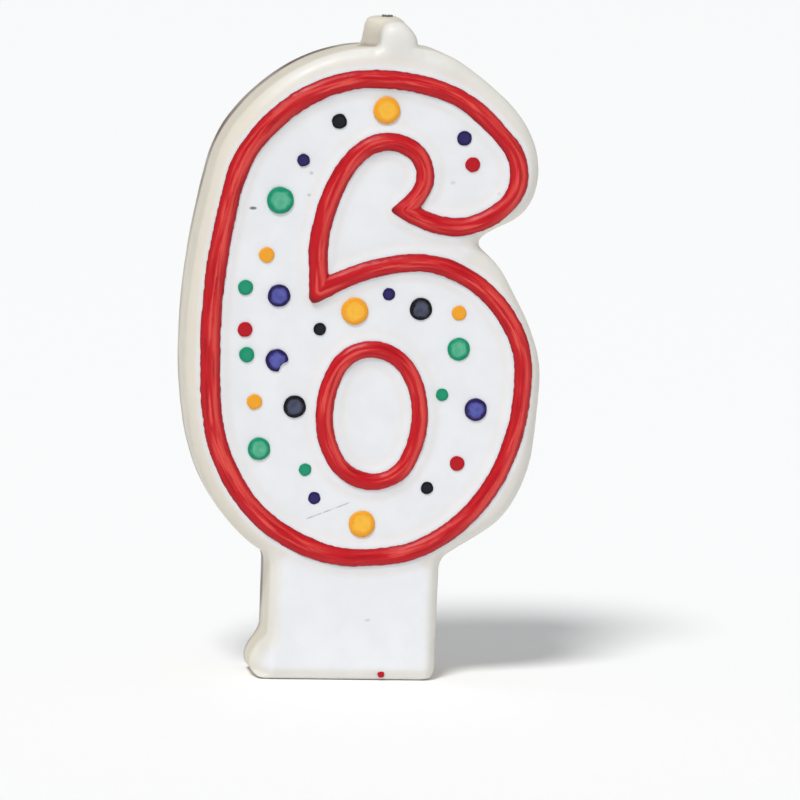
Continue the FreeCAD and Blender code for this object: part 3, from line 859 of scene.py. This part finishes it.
# ------------------------------------------------------------------ the wick
def wick_tree():
    """Geometry Nodes tree of a braided wick: four strands each way round a core, and fibres."""
    tree, given = new_tree("Braided wick", {
        "Place": "Vector", "Length": "Float", "Radius": "Float", "Strand": "Float",
        "Turns": "Float", "Material": "Material"})
    strands_each_way = 4
    ring = add(tree, MATH, MINUS, [
        given["Radius"], add(tree, MATH, TIMES, [given["Strand"], 1.25]).outputs[0]]).outputs[0]
    profile = add(tree, "GeometryNodeCurvePrimitiveCircle", links={
        "Resolution": 6, "Radius": given["Strand"]})
    parts = []
    for reverse in (False, True):
        spiral = add(tree, "GeometryNodeCurveSpiral", links={
            "Resolution": 18, "Rotations": given["Turns"], "Start Radius": ring,
            "End Radius": ring, "Height": given["Length"], "Reverse": reverse})
        along = add(tree, "GeometryNodeSplineParameter").outputs["Factor"]
        phase = add(tree, MATH, TIMES, [
            add(tree, MATH, TIMES, [along, given["Turns"]]).outputs[0],
            2 * math.pi * strands_each_way]).outputs[0]
        weave = add(tree, MATH, {"operation": "SINE"}, [
            add(tree, MATH, PLUS, [phase, math.pi if reverse else 0.0]).outputs[0]]).outputs[0]
        weave = add(tree, MATH, TIMES, [
            weave, add(tree, MATH, TIMES, [given["Strand"], WEAVE]).outputs[0]]).outputs[0]
        here = add(tree, "GeometryNodeInputPosition").outputs[0]
        radial = add(tree, VECTOR, TIMES, {0: here, 1: (1, 1, 0)})
        radial = add(tree, VECTOR, {"operation": "NORMALIZE"}, {0: radial.outputs[0]})
        radial = add(tree, VECTOR, {"operation": "SCALE"}, {0: radial.outputs[0], "Scale": weave})
        woven = add(tree, "GeometryNodeSetPosition", links={
            "Geometry": spiral.outputs[0], "Offset": radial.outputs[0]})
        posts = add(tree, "GeometryNodePoints", links={"Count": strands_each_way})
        number = add(tree, "GeometryNodeInputIndex").outputs[0]
        turn = add(tree, MATH, TIMES, [number, 2 * math.pi / strands_each_way]).outputs[0]
        turn = add(tree, JOIN, links={2: turn}).outputs[0]
        copies = add(tree, "GeometryNodeInstanceOnPoints", links={
            "Points": posts.outputs[0], "Instance": woven.outputs[0], "Rotation": turn})
        real = add(tree, "GeometryNodeRealizeInstances", links={"Geometry": copies.outputs[0]})
        parts.append(
            add(tree, "GeometryNodeCurveToMesh", links={
                "Curve": real.outputs[0], "Profile Curve": profile.outputs[0],
                "Fill Caps": True}).outputs[0])
    end = add(tree, JOIN, links={2: given["Length"]}).outputs[0]
    core = add(tree, "GeometryNodeCurvePrimitiveLine", links={"Start": (0, 0, 0), "End": end})
    core_ring = add(tree, "GeometryNodeCurvePrimitiveCircle", links={
        "Resolution": 12, "Radius": ring})
    parts.append(
        add(tree, "GeometryNodeCurveToMesh", links={
            "Curve": core.outputs[0], "Profile Curve": core_ring.outputs[0],
            "Fill Caps": True}).outputs[0])

    # Frayed fibres on the trimmed top.
    disc = add(tree, "GeometryNodeMeshCircle", {"fill_type": "TRIANGLE_FAN"}, {
        "Vertices": 16, "Radius": ring})
    seeds = add(tree, "GeometryNodeDistributePointsOnFaces", links={
        "Mesh": disc.outputs[0], "Density": 5.0e7, "Seed": 4})
    tilt = add(tree, "FunctionNodeRandomValue", {"data_type": "FLOAT_VECTOR"}, {
        0: (-0.5, -0.5, 0.0), 1: (0.5, 0.5, 6.28), "Seed": 9})
    stretch = add(tree, "FunctionNodeRandomValue", {"data_type": "FLOAT"}, {
        2: 0.5, 3: 1.0, "Seed": 2})
    fibre = add(tree, "GeometryNodeMeshCone", links={
        "Vertices": 5, "Side Segments": 1, "Radius Top": 0.01 * MM, "Radius Bottom": 0.05 * MM,
        "Depth": 0.25 * MM})
    fuzz = add(tree, "GeometryNodeInstanceOnPoints", links={
        "Points": seeds.outputs[0], "Instance": fibre.outputs[0], "Rotation": tilt.outputs[0],
        "Scale": stretch.outputs[1]})
    drop = add(tree, MATH, MINUS, [given["Length"], 0.22 * MM]).outputs[0]
    up = add(tree, JOIN, links={2: drop}).outputs[0]
    lifted = add(tree, "GeometryNodeTransform", links={
        "Geometry": fuzz.outputs[0], "Translation": up})
    parts.append(lifted.outputs[0])

    joined = add(tree, "GeometryNodeJoinGeometry")
    for part in parts:
        tree.links.new(part, joined.inputs[0])
    placed = add(tree, "GeometryNodeTransform", links={
        "Geometry": joined.outputs[0], "Translation": given["Place"]})
    return finish_tree(tree, placed.outputs[0], given["Material"])


class CANDLE_OT_wick(bpy.types.Operator):
    """Make the braided wick from the stem's end to just above the stub"""
    bl_idname = "candle.wick"
    bl_label = "Braided wick"

    def execute(self, context):
        low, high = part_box("wick")
        material = waxed_cotton()
        length = high[2] - low[2] - 2 * sizes().wick_trim
        piece = grow("braided_wick", wick_tree(), {
            "Place": ((low[0] + high[0]) / 2, (low[1] + high[1]) / 2, low[2] + sizes().wick_trim),
            "Length": length,
            "Radius": (high[0] - low[0]) / 2,
            "Strand": sizes().wick_strand,
            "Turns": length / sizes().wick_pitch,
            "Material": material,
        })
        recalculate_normals(piece.data)
        finish_piece(piece, material, "wick_cotton", "wick")
        return {"FINISHED"}


# ----------------------------------------------------------------- the stage
def white_room(scene):
    """A plain bright surround: walls as white as the floor, which light the shadows softly."""
    world = bpy.data.worlds.new("studio")
    scene.world = world
    world.use_nodes = True
    tree = world.node_tree
    tree.nodes.clear()
    seen = add(tree, "ShaderNodeLightPath").outputs["Is Camera Ray"]
    fill = add(tree, "ShaderNodeBackground", links={0: (0.97, 0.985, 1.0, 1.0), 1: ROOM_FILL})
    wall = add(tree, "ShaderNodeBackground", links={0: (1.0, 1.0, 1.0, 1.0), 1: ROOM_WALL})
    room = add(tree, "ShaderNodeMixShader", links={
        0: seen, 1: fill.outputs[0], 2: wall.outputs[0]})
    add(tree, "ShaderNodeOutputWorld", links={0: room.outputs[0]})


def soft_sun(name, azimuth, elevation, spread, strength):
    """Even soft light from one side: azimuth 0 is straight in front, negative is from the left."""
    lamp = bpy.data.lights.new(name, "SUN")
    lamp.energy = strength
    lamp.angle = math.radians(spread)
    lamp_object = bpy.data.objects.new(name, lamp)
    bpy.context.scene.collection.objects.link(lamp_object)
    side, up = math.radians(azimuth), math.radians(elevation)
    towards = Vector((math.sin(side) * math.cos(up), -math.cos(side) * math.cos(up), math.sin(up)))
    lamp_object.location = towards
    lamp_object.rotation_euler = towards.to_track_quat("Z", "Y").to_euler()


class CANDLE_OT_stage(bpy.types.Operator):
    """Make the floor, the studio light and the camera"""
    bl_idname = "candle.stage"
    bl_label = "Stage"

    def execute(self, context):
        scene = context.scene
        scene.view_settings.view_transform = "Standard"
        floor_mesh = bpy.data.meshes.new("floor")
        reach = FLOOR_REACH
        corners = [(-reach, -reach, 0), (reach, -reach, 0), (reach, reach, 0), (-reach, reach, 0)]
        floor_mesh.from_pydata(corners, [], [(0, 1, 2, 3)])
        floor = bpy.data.objects.new("floor", floor_mesh)
        scene.collection.objects.link(floor)
        floor.data.materials.append(floor_paper())

        white_room(scene)
        soft_sun("window", azimuth=-30.0, elevation=55.0, spread=16.0, strength=2.1)

        lens = bpy.data.cameras.new("camera")
        lens.lens = LENS
        lens.sensor_width = SENSOR
        lens.clip_start = 0.01
        lens.clip_end = 50.0
        camera = bpy.data.objects.new("camera", lens)
        scene.collection.objects.link(camera)
        azimuth, elevation, roll = (
            math.radians(angle) for angle in (CAMERA_AZIMUTH, CAMERA_ELEVATION, CAMERA_ROLL))
        aim = Vector((AIM[0] * MM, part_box("wax_body")[0][1], AIM[1] * MM))
        back = Vector((math.sin(azimuth) * math.cos(elevation),
                       -math.cos(azimuth) * math.cos(elevation), math.sin(elevation)))
        camera.location = aim + back * sizes().camera_distance
        level = (-back).to_track_quat("-Z", "Y").to_matrix().to_4x4()
        camera.rotation_euler = (level @ Matrix.Rotation(roll, 4, "Z")).to_euler()
        scene.camera = camera
        return {"FINISHED"}


# ----------------------------------------------------------------- the add-on
class CANDLE_PT_panel(bpy.types.Panel):
    """Lists the candle's sizes, colours and pieces"""
    bl_idname = "CANDLE_PT_panel"
    bl_label = "Numeral candle"
    bl_space_type = "VIEW_3D"
    bl_region_type = "UI"
    bl_category = "Candle"

    def draw(self, context):
        layout = self.layout
        for operator in OPERATORS:
            layout.operator(operator.bl_idname)
        for group in (context.scene.candle_sizes, context.scene.candle_colours):
            box = layout.box()
            for name in group.__annotations__:
                box.prop(group, name)


OPERATORS = (CANDLE_OT_wax_casting, CANDLE_OT_red_beads, CANDLE_OT_wax_dots, CANDLE_OT_wick,
             CANDLE_OT_stage)
CLASSES = (CandleSizes, CandleColours, *OPERATORS, CANDLE_PT_panel)


def register():
    for item in CLASSES:
        bpy.utils.register_class(item)
    bpy.types.Scene.candle_sizes = bpy.props.PointerProperty(type=CandleSizes)
    bpy.types.Scene.candle_colours = bpy.props.PointerProperty(type=CandleColours)


def unregister():
    del bpy.types.Scene.candle_colours
    del bpy.types.Scene.candle_sizes
    for item in reversed(CLASSES):
        bpy.utils.unregister_class(item)


def main():
    register()
    for make in (bpy.ops.candle.stage, bpy.ops.candle.wax_casting, bpy.ops.candle.red_beads,
                 bpy.ops.candle.wax_dots, bpy.ops.candle.wick):
        if "FINISHED" not in make():
            raise RuntimeError("an operator was cancelled")


if __name__ == "__main__":
    main()
